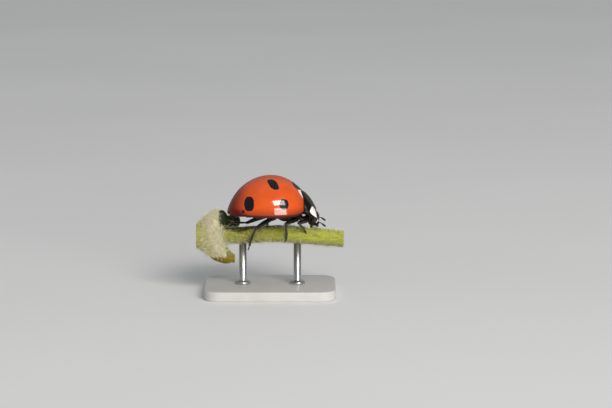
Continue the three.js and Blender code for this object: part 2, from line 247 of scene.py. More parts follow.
def add_piece(name, shape, finish, *nodes, slot="cuticle_black", **values):
    """A piece from its shape in the specimen frame, with values stored on its points."""
    points, faces = shape
    piece = mesh_object(name, to_world(points), faces)
    outward(piece)
    for key, numbers in values.items():
        layer = piece.data.attributes.new(key, "FLOAT", "POINT")
        layer.data.foreach_set("value", numbers)
    finish_piece(piece, finish, nodes)
    return piece


def body_piece(name, shape, *rest, **more):
    """A piece from its shape in the body frame."""
    points, faces = shape
    return add_piece(name, (from_body(points), faces), *rest, **more)


def both_sides(*makers):
    """Calls each maker with the sign of y and the name of each side."""
    for side, name in ((1, "left"), (-1, "right")):
        for make in makers:
            make(side, name)


# -------- materials

MOST = (0.3, 0.7)  # most of a noise's values lie between these
BLACK = (0.003, 0.0027, 0.003)
CREAM = (0.9, 0.87, 0.78)


class Finish:
    """A material, with short names for the nodes used here."""

    def __init__(self, name):
        self.material = bpy.data.materials.new(name)
        self.material.use_nodes = True
        self.tree = self.material.node_tree
        self.tree.nodes.clear()
        self.shader = self.add("BsdfPrincipled")
        self.add("OutputMaterial", Surface=self.shader.outputs[0])
        self.place = self.add("TexCoord").outputs["Object"]
        self.place = self.stretched((1 / MM,) * 3)  # position in millimetres

    def add(self, kind, **inputs):
        node = self.tree.nodes.new("ShaderNode" + kind)
        self.fill(node, inputs)
        return node

    def fill(self, node, values):
        for key, value in values.items():
            self.put(node.inputs[key.replace("_", " ")], value)

    def put(self, socket, value):
        if hasattr(value, "is_output"):
            self.tree.links.new(value, socket)
        else:
            socket.default_value = (*value, 1) if socket.type == "RGBA" else value

    def set(self, **values):
        self.fill(self.shader, values)
        return self

    def stretched(self, scale):
        return self.add("Mapping", Vector=self.place, Scale=scale).outputs[0]

    def noise(self, scale, detail=3, stretch=None):
        place = self.stretched(stretch) if stretch else self.place
        return self.add("TexNoise", Vector=place, Scale=scale, Detail=detail).outputs["Fac"]

    def cells(self, scale, randomness=1):
        return self.add("TexVoronoi", Vector=self.place, Scale=scale, Randomness=randomness).outputs[0]

    def value(self, name):
        node = self.add("Attribute")
        node.attribute_name = name
        return node.outputs["Fac"]

    def math(self, operation, a, b):
        node = self.add("Math")
        node.operation = operation
        self.put(node.inputs[0], a)
        self.put(node.inputs[1], b)
        return node.outputs[0]

    def span(self, value, low, high, to_low=0, to_high=1):
        """Eases from to_low to to_high as the value goes from low to high."""
        node = self.add("MapRange", Value=value, From_Min=low, From_Max=high,
                        To_Min=to_low, To_Max=to_high)
        node.interpolation_type = "SMOOTHSTEP"
        return node.outputs["Result"]

    def drift(self, scale, low=0, high=1, detail=3, stretch=None):
        """A number that wanders between low and high over the surface."""
        return self.span(self.noise(scale, detail, stretch), *MOST, low, high)

    def inside(self, name, softness, scale, detail, waver):
        """1 where a stored distance is under 0, with a soft, wavering edge."""
        shift = self.math("MULTIPLY", self.math("SUBTRACT", self.noise(scale, detail), 0.5), waver)
        return self.span(self.math("ADD", self.value(name), shift), -softness, softness, 1, 0)

    def mix(self, share, a, b):
        node = self.add("Mix")
        node.data_type = "RGBA"
        colours = [s for s in node.inputs if s.type == "RGBA"]
        for socket, value in zip([node.inputs["Factor"], *colours], (share, a, b)):
            self.put(socket, value)
        return next(s for s in node.outputs if s.type == "RGBA")

    def bump(self, height, distance, strength, under=None):
        """A surface direction from a height, laid over another; the distance is in mm."""
        node = self.add("Bump", Height=height, Distance=distance * MM, Strength=strength)
        if under is not None:
            self.put(node.inputs["Normal"], under)
        return node.outputs["Normal"]


def wing_case_finish():
    orange, deeper_orange = (0.75, 0.094, 0.001), (0.69, 0.074, 0.001)
    painted_shade_red, painted_rim_shade = (0.14, 0.003, 0.001), (0.03, 0.004, 0.001)
    f = Finish("wing_case")
    colour = f.mix(f.drift(0.9, detail=4), orange, deeper_orange)
    # Painted shade: the red deepens towards the margin, the tail, the seam and the front edge.
    colour = f.mix(f.value("depth"), colour, painted_shade_red)
    spot = f.inside("spot", 0.02, 4, 1, 0.07)
    rim = f.span(f.value("rim"), 0.07, 0.22, 1, 0)
    colour = f.mix(f.inside("white", 0.03, 4, 1, 0.07), colour, CREAM)
    # Painted shade: a thin brown line along the wing case's margin.
    colour = f.mix(f.math("MULTIPLY", rim, 0.9), colour, painted_rim_shade)
    colour = f.mix(spot, colour, BLACK)
    f.set(Base_Color=colour, Roughness=f.drift(9, 0.24, 0.34, detail=4))
    dull = f.math("MAXIMUM", f.math("MULTIPLY", f.value("depth"), 0.8), rim)
    dull = f.math("MAXIMUM", f.math("MULTIPLY", spot, 0.6), dull)
    f.set(Coat_Weight=f.span(dull, 0, 1, 0.4, 0.08), Coat_Roughness=0.08, Coat_IOR=2.5)
    f.set(Specular_IOR_Level=0.1)
    pits = f.span(f.cells(11), 0, 0.22)
    return f.set(Normal=f.bump(pits, 0.002, 0.4, under=f.bump(f.noise(2.2, 2), 0.01, 0.35)))


def cuticle_finish(name="cuticle", colour=BLACK, roughness=(0.2, 0.38), grain=16, coat=0.3,
                   gloss=0.25, patch=None):
    """Black cuticle with fine pits; patch names a value that is under 0 where it is cream."""
    paler = 1.9
    f = Finish(name)
    tint = f.mix(f.drift(4), colour, tuple(c * paler for c in colour))
    if patch:
        tint = f.mix(f.inside(patch, 0.015, 7, 2, 0.05), tint, CREAM)
    f.set(Base_Color=tint, Roughness=f.drift(10, *roughness))
    f.set(Coat_Weight=coat, Coat_Roughness=0.08, Specular_IOR_Level=gloss)
    return f.set(Normal=f.bump(f.span(f.cells(grain), 0, 0.3), 0.004, 0.8))


def eye_finish():
    facet, between = (0.03, 0.022, 0.02), (0.006, 0.005, 0.005)
    f = Finish("eye")
    facets = f.cells(26, randomness=0.15)
    f.set(Base_Color=f.mix(f.span(facets, 0.25, 0.6), facet, between))
    f.set(Roughness=f.drift(20, 0.16, 0.26), Coat_Weight=0.6, Coat_Roughness=0.05)
    return f.set(Normal=f.bump(facets, 0.006, 0.8))


def stem_finish():
    green, yellower = (0.24, 0.27, 0.006), (0.47, 0.47, 0.03)
    pith_edge, pith_middle = (0.3, 0.36, 0.07), (0.6, 0.62, 0.36)
    f = Finish("stem")
    mottle = f.span(f.noise(2.6, 5), 0.35, 0.65)
    colour = f.mix(f.drift(5, detail=4, stretch=(0.25, 1.6, 1.6)), green, yellower)
    # Darker and browner from under the beetle to the stem's rear: partly the stem's own tone, partly
    # painted shade.
    colour = f.mix(f.math("MULTIPLY", f.value("rear_shade_and_tone"), 0.6), colour, (0.2, 0.17, 0.006))
    for zone, tint in (
        ("node", f.mix(mottle, (0.44, 0.43, 0.09), (0.34, 0.32, 0.06))),
        ("wool", f.mix(mottle, (0.62, 0.58, 0.42), (0.5, 0.46, 0.28))),
        # Painted shade: the swelling, the far stalk's side towards the beetle and the stem's top under
        # it, as if in the beetle's shadow.
        ("dark", (0.017, 0.024, 0.004)),
        # Painted shade: the stem's underside is darker.
        ("under", (0.15, 0.14, 0.018)),
        ("brown", (0.21, 0.15, 0.008)),
        ("cut", f.mix(f.span(f.value("pith"), 0.55, 0.75), pith_middle, pith_edge)),
    ):
        colour = f.mix(f.value(zone), colour, tint)
    f.set(Base_Color=colour, Roughness=f.drift(8, 0.5, 0.7), Specular_IOR_Level=0.2)
    f.set(Subsurface_Weight=0.2, Subsurface_Scale=0.3 * MM, Subsurface_Radius=(1, 0.9, 0.3))
    return f.set(Normal=f.bump(f.noise(7, 5, stretch=(0.2, 1.5, 1.5)), 0.035, 0.9))


def hair_finish(name, colour, tip):
    f = Finish(name)
    f.set(Base_Color=f.mix(f.span(f.noise(3), 0.35, 0.65), colour, tip))
    return f.set(Roughness=f.drift(14, 0.45, 0.6))


def paint_finish():
    f = Finish("stand_paint")
    f.set(Base_Color=f.mix(f.drift(0.6, detail=4), (0.56, 0.55, 0.52), (0.61, 0.6, 0.57)))
    f.set(Roughness=f.drift(5, 0.36, 0.48, detail=4))
    return f.set(Normal=f.bump(f.noise(16), 0.006, 0.5))


def steel_finish():
    f = Finish("stand_steel")
    lines = f.noise(14, 4, stretch=(1, 1, 9))
    f.set(Base_Color=f.mix(f.span(lines, *MOST), (0.5, 0.5, 0.51), (0.62, 0.62, 0.63)))
    f.set(Metallic=1, Roughness=f.span(lines, *MOST, 0.22, 0.36))
    return f.set(Normal=f.bump(lines, 0.003, 0.5))


def floor_finish():
    f = Finish("floor")
    return f.set(Base_Color=f.mix(f.drift(0.02), (0.88, 0.88, 0.87), (0.91, 0.91, 0.9)), Roughness=0.75)


# -------- wing cases
# A place on the back is s, along the body from -1 at the tail, and an angle, which is 0 at the
# suture and a right angle at the left margin. The right wing case mirrors the left one.

HALF_LENGTH = 3.12
HALF_WIDTH = 2.8
HEIGHT = 2.785
# Curves of height and width: the place s of the peak, two powers behind it, drop and power ahead.
HEIGHT_CURVE = (0.13, 2, 0.7, 0.52, 2.16)
WIDTH_CURVE = (0.1, 2.2, 0.5, 0.44, 2.6)
TAIL_DROOP = 0.18
BASE_X, BASE_TOP = 2.86, 1.56  # top of the plane that the wing cases end at in front
BASE_LEAN = 0.2
SKIN = 0.16  # thickness of the cuticle as seen at an edge
SHOULDER_TURN = 0.55  # how far back the front edge ends at the margin
SHOULDER_BULGE = 0.12
SEAM_GAP = 0.006  # each wing case starts this far off the middle
SEAM_DEPTH, SEAM_WIDTH = 0.03, 0.035
FLARE, FLARE_DEGREES = (0.05, 0.02), (76, 90)  # how far the margin flares out and up, and where
SHOULDER = (0.06, 0.03)  # how far the shoulder stands out and up
SHOULDER_S, SHOULDER_DEGREES = (0.8, 0.1), (60, 14)  # its middle and spread
OUTER_REAR, INNER_REAR = -0.9995, -0.98  # the places s where the two faces start at the tail
LIP = ((0, -0.03), (-0.015, -0.055), (-0.05, -0.065))  # the rounded margin: outwards, upwards
FOLD_WIDTH, FOLD_RISE = 0.42, 0.09  # the fold that turns in under the margin

# Spots of one wing case: the middle as (s, degrees), two half diameters as (forwards, up), and
# how square the outline is.
SPOTS = (
    ((0.195, 29), (0.37, 0.02), (0.23, -0.6), 2.7),
    ((-0.42, 64), (0.43, 0), (0, 0.62), 2.4),
    ((0.482, 67), (0.37, 0), (0, 0.43), 2.6),
    ((-0.568, 79.5), (0.13, 0), (0, 0.12), 2),
)
SHIELD_SPOT_S = 0.8  # the seventh spot lies across the suture
SHIELD_SPOT = (0.5, 0.7, 0.45)  # half its length and width, and half its width in front
WHITE_MIDDLE, WHITE_HALF, WHITE_LENGTH = 0.66, 0.44, 0.22  # the white marks on the front edge


def hump(s, peak, power, root, drop, drop_power):
    """Rises from 0 at the tail to 1 at the peak, and sinks ahead of it."""
    behind = np.clip((peak - s) / (1 + peak), 0, 1)
    ahead = np.clip((s - peak) / (1 - peak), 0, None)
    return np.where(s < peak, (1 - behind ** power) ** root, 1 - drop * ahead ** drop_power)


def dome_share(s):
    """Height and half width as shares of the greatest, and how far the foot droops."""
    return hump(s, *HEIGHT_CURVE), hump(s, *WIDTH_CURVE), TAIL_DROOP * ease(-s, 0.55, 1)


def dome_point(s, angle, inset=0):
    """A point of the back, or one that lies under it by inset."""
    height, width, droop = dome_share(s)
    wall = inset * np.minimum(1, width * 1.5)
    w = np.maximum(HALF_WIDTH * width - wall, 0)
    h = np.maximum((HEIGHT + droop) * height - inset * np.minimum(1, height * 1.5), 0)
    return xyz(s * HALF_LENGTH, w * np.sin(angle), -droop + h * np.cos(angle))


def base_x(z):
    """How far forward the leaning base plane is at a height."""
    return BASE_X + (BASE_TOP - z) * BASE_LEAN


def base_bulge(angle):
    """How far the base swells ahead of its plane over each shoulder."""
    return SHOULDER_BULGE * np.sin(np.clip((np.degrees(angle) - 14) / 62, 0, 1) * np.pi) ** 1.5


def front_s(angle, inset=0):
    """The front edge of a wing case: along the base plane, then back round the shoulder."""
    s = np.full_like(angle, 0.93)
    for _ in range(12):
        s = base_x(dome_point(s, angle, inset)[..., 2]) / HALF_LENGTH
    turn = np.clip((np.degrees(angle) - 66) / 24, 0, 1)
    return s + (base_bulge(angle) - SHOULDER_TURN * turn ** 3) / HALF_LENGTH


def spot_edge(points, spot):
    """Signed distance to a spot's outline, for points near the surface."""
    (s, degrees), first, second, square = spot
    angle, step = np.radians(degrees), 0.01
    reach, far = 1.2, 9
    centre = dome_point(s, angle)
    forwards = unit(dome_point(s + step, angle) - centre)
    up = unit(dome_point(s, angle - step) - centre)
    off = points - centre
    inside = np.linalg.solve(np.transpose([first, second]), [off @ forwards, off @ up])
    ring = (np.abs(inside) ** square).sum(0) ** (1 / square)
    near = np.linalg.norm(off, axis=1) < reach
    return np.where(near, (ring - 1) * min(np.hypot(*first), np.hypot(*second)), far)


def outer_face(s, angle):
    """One ring of the outer face: flared at the margin, with a shoulder, and sunk at the seam."""
    p = dome_point(s, angle)
    degrees = np.degrees(angle)
    flare = ease(degrees, *FLARE_DEGREES)
    shoulder = bell(s, *SHOULDER_S) * bell(degrees, *SHOULDER_DEGREES)
    full_width = np.minimum(1, dome_share(s)[1] * 2)
    p[:, 1] += FLARE[0] * flare * full_width + SHOULDER[0] * shoulder
    p[:, 2] += FLARE[1] * flare + SHOULDER[1] * shoulder
    p[:, 2] -= SEAM_DEPTH * bell(p[:, 1], 0, SEAM_WIDTH)
    p[:, 1] = np.maximum(p[:, 1], SEAM_GAP)
    return p


def turned_in(edge, share, t):
    """The lip and the fold under an edge point, at a share of their size; t is 0 at the tail."""
    fold = FOLD_WIDTH * share * (0.75 + 0.25 * t)
    steps = [(out * share, up * share) for out, up in LIP]
    out, up = LIP[-1]
    for k in np.linspace(0.15, 1, 7):
        steps.append((out * share - fold * k, (up + FOLD_RISE * k) * share))
    return [edge + (0, out, up) for out, up in steps]


def wing_case_marks(points, around, rims):
    """Signed distances to the black and white marks and to the rim, and the share of painted shade red.
    """
    x, y, z = points.T
    length, rear_half, front_half = SHIELD_SPOT
    off = points - dome_point(SHIELD_SPOT_S, 0)
    across = off[:, 1] / (rear_half - (rear_half - front_half) * ease(off[:, 0], 0, 0.45))
    shield = (np.hypot(np.hypot(off[:, 0], off[:, 2]) / length, across) - 1) * 0.45
    behind = base_x(z) + base_bulge(around) - x
    white = np.abs(y - WHITE_MIDDLE) - WHITE_HALF + behind
    # Painted shade: how far the red deepens towards the margin, the tail, the seam and the front edge.
    depth = (0.6 * ease(-rims, -0.9, -0.05) + 0.9 * ease(-x, 1.2, 2.8)
             + 0.3 * ease(np.degrees(around), 22, 4) + 0.2 * ease(x, 2.2, 3))
    spots = [spot_edge(points, each) for each in SPOTS]
    # The thin black line along the front edge is painted shade where the wing case meets the pronotum.
    return {"spot": np.min([*spots, shield, behind - 0.03], axis=0),
            "white": np.maximum(behind - WHITE_LENGTH, white),
            "rim": rims, "depth": np.clip(depth, 0, 1)}


def elytron(side, name):
    rows, outer, inner = 200, 120, 26
    angle = np.pi / 2 * np.linspace(0, 1, outer) ** 0.92
    deep_angle = np.radians(np.linspace(80, 0, inner))
    front, deep_front = front_s(angle), front_s(deep_angle, SKIN)
    rings, rims = [], []
    # The rings lie closer together towards the tail, where the outline turns fastest.
    for t in 1 - np.cos(np.linspace(0, 1, rows) * np.pi / 2) ** 1.6:
        s = OUTER_REAR + (front - OUTER_REAR) * t
        width = dome_share(s)[1]
        face = outer_face(s, angle)
        fold = turned_in(face[-1], min(1, width[-1] * 1.2), t)
        deep = dome_point(INNER_REAR + (deep_front - INNER_REAR) * t, deep_angle, SKIN)
        deep[:, 1] = np.maximum(deep[:, 1], SEAM_GAP)
        rings.append(np.vstack([face, fold, deep]))
        rims += [*((np.pi / 2 - angle) * HALF_WIDTH * width), *np.zeros(len(fold) + inner)]
    points, faces = loop_body(rings)
    around = np.tile(np.concatenate([angle, np.full(len(fold), np.pi / 2), deep_angle]), rows)
    marks = wing_case_marks(points, around, np.array(rims))
    body_piece(f"elytron_{name}_shell", (points * (1, side, 1), faces), WING_CASE, f"elytron_{name}",
               slot="wing_case_red", **marks)


def scutellum():
    """The small triangle between the bases of the wing cases."""
    length, half, rise, depth, gap = 0.62, 0.3, 0.03, 0.12, 0.01
    t, across = np.linspace(0.03, 1, 14)[:, None], np.linspace(-1, 1, 15)
    x = BASE_X - length + length * t - gap
    y = half * t * across
    height, width, _ = dome_share(x / HALF_LENGTH)
    z = HEIGHT * height * np.sqrt(1 - (y / (HALF_WIDTH * width)) ** 2)
    crown = (1 - across ** 4) * (1 - (1 - t) ** 6)
    shape = plate(xyz(x, y, z + rise * crown - gap), xyz(x, y, z - depth))
    body_piece("scutellum_plate", shape, CUTICLE, "scutellum")


# -------- pronotum and trunk
# A place on the pronotum is u, from its rear edge to its front, and v, from -1 at its right
# margin to 1 at its left.

REAR_HALF, REAR_CORNER = 1.7, 0.1
FRONT_X, FRONT_HALF, FRONT_DROP = 4.07, 1.3, 0.43
CORNER_REACH = 0.08  # the front corners stand this far ahead of the middle
PRONOTUM_ARCH = 0.13
NECK = np.array([2.9, 0, 0.3])  # the prothorax narrows towards this point inside the trunk
TRUNK_INSET = (0.2, 0.42)  # how far the trunk lies inside the wing cases, along and across
WAIST = 0.04  # the place s where the abdomen meets the thorax
PLATE_LENGTH = 0.19  # length of one plate of the abdomen, in s


def pronotum_point(u, v):
    angle = v * np.pi / 2
    rear_z = REAR_CORNER + (BASE_TOP - REAR_CORNER) * np.cos(angle)
    rear = xyz(base_x(rear_z) + base_bulge(np.abs(angle)), REAR_HALF * np.sin(angle), rear_z)
    front = xyz(FRONT_X + CORNER_REACH * v * v, FRONT_HALF * np.sin(angle),
                FRONT_DROP * (np.cos(angle) - 1))
    arch = PRONOTUM_ARCH * np.sin(np.pi * np.clip(u, 0, None) ** 0.8)
    out = unit(xyz(0.75, 0.8 * np.sin(angle), 0.62))
    return rear + (front - rear) * u[..., None] + out * arch[..., None]


def pronotum():
    u, v = np.linspace(0, 1, 70)[:, None], np.linspace(-1, 1, 140)
    u = 0.015 + 0.97 * (0.5 - 0.5 * np.cos(u * np.pi))
    v = v * (1.25 - 0.25 * np.abs(v)) * 0.985
    step, rim_height, edge_depth, depth = 0.01, 0.035, 0.05, 0.11
    normal = unit(np.cross(pronotum_point(u + step, v) - pronotum_point(u - step, v),
                           pronotum_point(u, v + step) - pronotum_point(u, v - step)))
    across = np.abs(v)
    body = ((1 - np.abs(2 * u - 1) ** 14) * (1 - across ** 20)) ** 0.5
    rim = bell(across, 1, 0.05) * rim_height
    top = pronotum_point(u, v) + normal * (rim - 0.03 * (1 - body))[..., None]
    low = pronotum_point(u, v) - normal * (edge_depth + depth * body)[..., None]
    # Signed distance to the cream corner: its inner and rear edges, then the plate's own edges.
    patch = smooth_max([(0.36 + 0.49 * (0.88 - across) - u) * 1.5,
                        (0.44 - 0.58 * (u - 0.58) - across) * 1.8,
                        (0.31 + 1.39 * (u - 0.82) - across) * 1.2,
                        (0.36 + 2.2 * (across - 0.88) - u) * 0.6,
                        (across - 0.985) * 2, (u - 0.985) * 2], 0.045).ravel()
    body_piece("pronotum_plate", plate(top, low), PRONOTUM, "pronotum", patch=np.tile(patch, 2))


def trunk():
    """The undersides of the thorax and of the abdomen with its plates."""
    s = np.linspace(-0.965, 1.08, 176)[:, None]
    angle = full_turn(96)
    belly, breast, back, plate_step = 0.42, 0.42, 0.45, 0.07
    height, width, droop = dome_share(s)
    x = s * (HALF_LENGTH - TRUNK_INSET[0])
    y = (HALF_WIDTH - TRUNK_INSET[1]) * width * np.cos(angle)
    depth = belly * np.minimum(1, width * 1.2) * np.abs(np.sin(angle)) ** 0.8
    depth += breast * (ease(x, 0.5, 1.5) * ease(-x, -3.3, -2.8)) * ease(-np.abs(y), -1.6, -0.7)
    plates = (WAIST - s) / PLATE_LENGTH
    depth -= np.where(s < WAIST, plate_step * (1 - plates % 1) ** 2, 0)
    top = back * np.minimum(1, height * 1.5) * np.sin(angle)
    rings = xyz(x, y, np.where(np.sin(angle) < 0, -depth, top) - droop)
    cut = int((s < WAIST).sum())
    for name, part in (("thorax", rings[cut:]), ("abdomen", rings[:cut + 1])):
        piece = body_piece(f"{name}_underside", loop_body(part), BELLY, name)
        HAIRY.append((piece, TRUNK_HAIRS, TRUNK_HAIR_LENGTH))


def prothorax():
    """The body under the pronotum: it lines the hood, closes it below and runs back as a neck."""
    v = np.linspace(-0.96, 0.96, 61)
    turn = np.linspace(0, np.pi, 41)[1:-1]
    lining, depth = 0.12, 0.48
    rings = []
    for u in np.linspace(0.03, 0.93, 40):
        over = pronotum_point(u, v)
        middle = over[len(v) // 2]
        over = over + unit((middle[0] - 0.3, 0, -0.3) - over) * lining
        x, half, low = over[0][0], over[-1][1], over[0][2]
        sag = depth * np.sin(np.pi * (0.25 + 0.55 * u)) * np.sin(turn) ** 0.8
        rings.append(np.vstack([over, xyz(x, half * np.cos(turn), low - sag)]))
    neck = [(rings[0] - NECK) * [1, 1 - 0.12 * t, 1 - 0.2 * t] + NECK - [0.55 * t, 0, 0]
            for t in np.linspace(1, 0.1, 10)]
    body_piece("prothorax_underside", loop_body(neck + rings), BELLY, "prothorax")


def side_plate(side, name):
    """The pale plate behind each front leg."""
    shape = ball((3.02, side * 1.24, -0.17), (0.17, 0.055, 0.13), rotation_x(-side * 0.8))
    body_piece(f"side_plate_{name}", shape, PALE)


# -------- head

HEAD = np.array([3.83, 0, -0.72])
HEAD_TURN = rotation_y(np.radians(12))
EYE_LEAN = ((1, 0, 0.25), (0, 1, 0), (-0.25, 0, 1))
# The head's capsule, lower face, crown and base of the upper lip: offsets and radii.
HEAD_PARTS = (
    ((0, 0, 0), (0.5, 0.74, 0.64)),
    ((0.2, 0, -0.36), (0.3, 0.42, 0.26)),
    ((-0.22, 0, 0.16), (0.46, 0.66, 0.55)),
    ((0.27, 0, -0.4), (0.2, 0.36, 0.13)),
)
BROW_MARK, BROW_MARK_RADIUS = (4.14, 0.5, -0.86), 0.15  # the cream mark beside the left eye
# Lengths and radii of an antenna's joints, from the root to the club.
ANTENNA_LENGTHS = (1.5, 0.9, 1.4, 0.9, 0.9, 0.8, 0.8, 0.8, 1.1, 1.2, 1.1)
ANTENNA_RADII = (0.06, 0.045, 0.034, 0.032, 0.032, 0.033, 0.036, 0.042, 0.066, 0.082, 0.07)


def head():
    shapes = [ball(HEAD + offset, radii, HEAD_TURN) for offset, radii in HEAD_PARTS]
    points, faces = fused(shapes, voxel=0.022, smoothing=6)
    x, y, z = points.T
    off_mark = np.linalg.norm(xyz(x, np.abs(y), z) - BROW_MARK, axis=1)
    body_piece("head_capsule", (points, faces), HEAD_SKIN, "head", patch=off_mark - BROW_MARK_RADIUS)


def mouth():
    """The upper lip and the tips of the two mandibles."""
    parts = [ball(HEAD + (0.27, 0, -0.54), (0.13, 0.27, 0.08), HEAD_TURN)]
    for y in (0.1, -0.1):
        hook = spline([(4.05, y * 1.6, -1.26), (4.12, y * 1.5, -1.36), (4.13, y * 0.4, -1.42)], 10)
        parts.append(sweep(hook, np.linspace(0.07, 0.02, 10), 12))
    body_piece("labrum_plate", joined(parts), CUTICLE, "labrum")


def eye(side, name):
    shape = ball((3.97, side * 0.6, -0.62), (0.22, 0.2, 0.29), EYE_LEAN, 48, 32)
    body_piece(f"eye_{name}_lens", shape, EYE, f"eye_{name}", slot="eye_dark")


def antenna(side, name):
    route = spline([(4.14, 0.42, -0.98), (4.26, 0.72, -0.86), (4.48, 0.95, -0.92),
                    (4.78, 0.99, -1.14)], 60) * (1, side, 1)
    steps = np.arange(len(route))
    ends = np.cumsum([0, *ANTENNA_LENGTHS]) / sum(ANTENNA_LENGTHS) * steps[-1]
    parts = []
    for start, end, radius in zip(ends, ends[1:], ANTENNA_RADII):
        at = np.linspace(start + 0.3, end - 0.1, 6)
        path = np.stack([np.interp(at, steps, column) for column in route.T], -1)
        parts.append(sweep(path, radius * np.array([0.72, 0.92, 1.05, 1.12, 1.08, 0.9]), 14))
    body_piece(f"antenna_{name}_joints", joined(parts), LIMB, f"antenna_{name}")


def palp(side, name):
    route = spline([(3.96, 0.3, -1.16), (4.06, 0.5, -1.16), (4.15, 0.62, -1.22)], 20) * (1, side, 1)
    parts = [
        sweep(route[:7], 0.05, 12),
        sweep(route[6:12], [0.055, 0.07, 0.075, 0.075, 0.07, 0.06], 12),
        sweep(route[11:], np.linspace(0.06, 0.12, 9), 14, flat=0.6),
    ]
    body_piece(f"palp_{name}_joints", joined(parts), LIMB, f"palp_{name}")


# -------- legs

# Joints of each leg in the specimen frame: hip, trochanter, knee, ankle, ball and toe.
LEGS = {
    "front_right": ((2.78, -0.5, 1.45), (2.86, -0.95, 1.18), (2.34, -1.95, 1.2),
                    (2.72, -0.9, 0.54), (2.82, -0.74, 0.34), (2.9, -0.62, 0.14)),
    "middle_right": ((1.8, -0.5, 1.5), (2.15, -1, 1.3), (1.29, -2.1, 1.16),
                     (1.33, -0.88, 0.06), (1.3, -0.74, -0.22), (1.26, -0.58, -0.5)),
    "hind_right": ((0.51, -0.55, 1.5), (0.12, -1, 1.36), (-1.13, -2.2, 0.77),
                   (-1.52, -0.96, -0.34), (-1.62, -0.82, -0.72), (-1.73, -0.72, -1.12)),
    "front_left": ((2.78, 0.5, 1.45), (2.95, 0.95, 1.2), (3.26, 1.75, 1.12),
                   (3.36, 0.86, 0.28), (3.44, 0.7, 0), (3.52, 0.6, -0.26)),
    "middle_left": ((1.8, 0.5, 1.5), (1.45, 1, 1.4), (-0.18, 1.95, 1.08),
                    (-0.24, 0.88, 0.28), (-0.27, 0.76, 0), (-0.3, 0.68, -0.26)),
    "hind_left": ((0.51, 0.55, 1.5), (0.05, 0.98, 1.38), (-1.88, 1.4, 0.66),
                  (-2.9, 0.84, 0.78), (-3.24, 0.74, 0.84), (-3.56, 0.62, 0.92)),
}
LIMB_FLAT = 0.85  # how much a limb is squeezed
COXA_RADIUS = 0.24
FEMUR_RADIUS, FEMUR_SWELL = 0.145, 0.075
TIBIA_RADIUS, TIBIA_SWELL, SPUR_LENGTH = 0.085, 0.035, 0.14
FOOT_STEPS = 60
# Joints of a foot: the steps that each runs between, and its radius at both ends.
FOOT_JOINTS = ((0, 20, 0.06, 0.105), (18, 36, 0.065, 0.12), (34, 42, 0.05, 0.06), (40, 60, 0.04, 0.065))
LEG_HAIRS = {"coxa": 0, "femur": 90, "tibia": 150, "tarsus": 120}
SOLE = (4, 34)  # the steps of a foot that have a brush under them
SOLE_HALF = 0.06
BRUSHES_PER_STEP = 4


def coxa(hip, trochanter):
    path = spline([hip + (0, 0, 0.12), (hip + trochanter) / 2, trochanter], 14)
    return sweep(path, COXA_RADIUS * np.linspace(1.05, 0.72, 14), 20)


def femur(trochanter, knee):
    path = spline([trochanter, (trochanter + knee) / 2 + (0, 0, 0.05), knee], 30)
    swell = np.sin(np.pi * np.linspace(0, 1, 30) ** 0.85)
    return sweep(path, FEMUR_RADIUS + FEMUR_SWELL * swell, 24, flat=LIMB_FLAT)


def tibia(knee, ankle, out):
    """The shin, with two short spurs at its foot."""
    path = spline([knee, (knee + ankle) / 2 + out * 0.04, ankle], 30)
    t = np.linspace(0, 1, 30)
    ring = 0.015 * bell(t, 0.93, 0.06)
    radii = TIBIA_RADIUS + TIBIA_SWELL * ease(t, 0.1, 0.8) + ring
    parts = [sweep(path, radii, 20, flat=LIMB_FLAT)]
    down = unit(ankle - knee)
    across = unit(np.cross(down, out))
    for sign in (1, -1):
        start = ankle + across * sign * 0.07 - out * 0.03
        spur = start + down * np.linspace(0, SPUR_LENGTH, 3)[:, None]
        parts.append(sweep(spur, (0.022, 0.016, 0.004), 8))
    return joined(parts)


def tarsus(route, toe, along, side, out):
    """The foot's joints along its route, with two claws."""
    parts = []
    for start, end, first_radius, last_radius in FOOT_JOINTS:
        swell = np.linspace(first_radius, last_radius, end - start)
        swell[-2:] *= 0.92
        parts.append(sweep(route[start:end], swell, 16, flat=LIMB_FLAT))
    for sign in (1, -1):
        claw = spline([toe, toe + along * 0.08 + side * sign * 0.06 + out * 0.02,
                       toe + along * 0.14 + side * sign * 0.08 - out * 0.07], 12)
        parts.append(sweep(claw, np.linspace(0.032, 0.006, 12), 10))
    return joined(parts)


def leg(name, joints):
    hip, trochanter, knee, ankle, toe_ball, toe = np.array(joints)
    route = spline([ankle, toe_ball, toe], FOOT_STEPS)
    out = unit(knee - hip)
    along = unit(toe - toe_ball)
    side = unit(np.cross(along, out))
    shapes = {"coxa": coxa(hip, trochanter), "femur": femur(trochanter, knee),
              "tibia": tibia(knee, ankle, out), "tarsus": tarsus(route, toe, along, side, out)}
    for part, shape in shapes.items():
        node = f"leg_{name}_{part}"
        piece = add_piece(f"{node}_skin", shape, LIMB, node)
        HAIRY.append((piece, LEG_HAIRS[part], LEG_HAIR_LENGTH))
    roots = np.repeat(route[slice(*SOLE)], BRUSHES_PER_STEP, axis=0) - out * 0.07
    roots += side * rng.uniform(-SOLE_HALF, SOLE_HALF, (len(roots), 1))
    SOLES.append((roots, np.tile(unit(along * 0.5 - out), (len(roots), 1))))


# -------- perch

STEM_HALF = 5.95
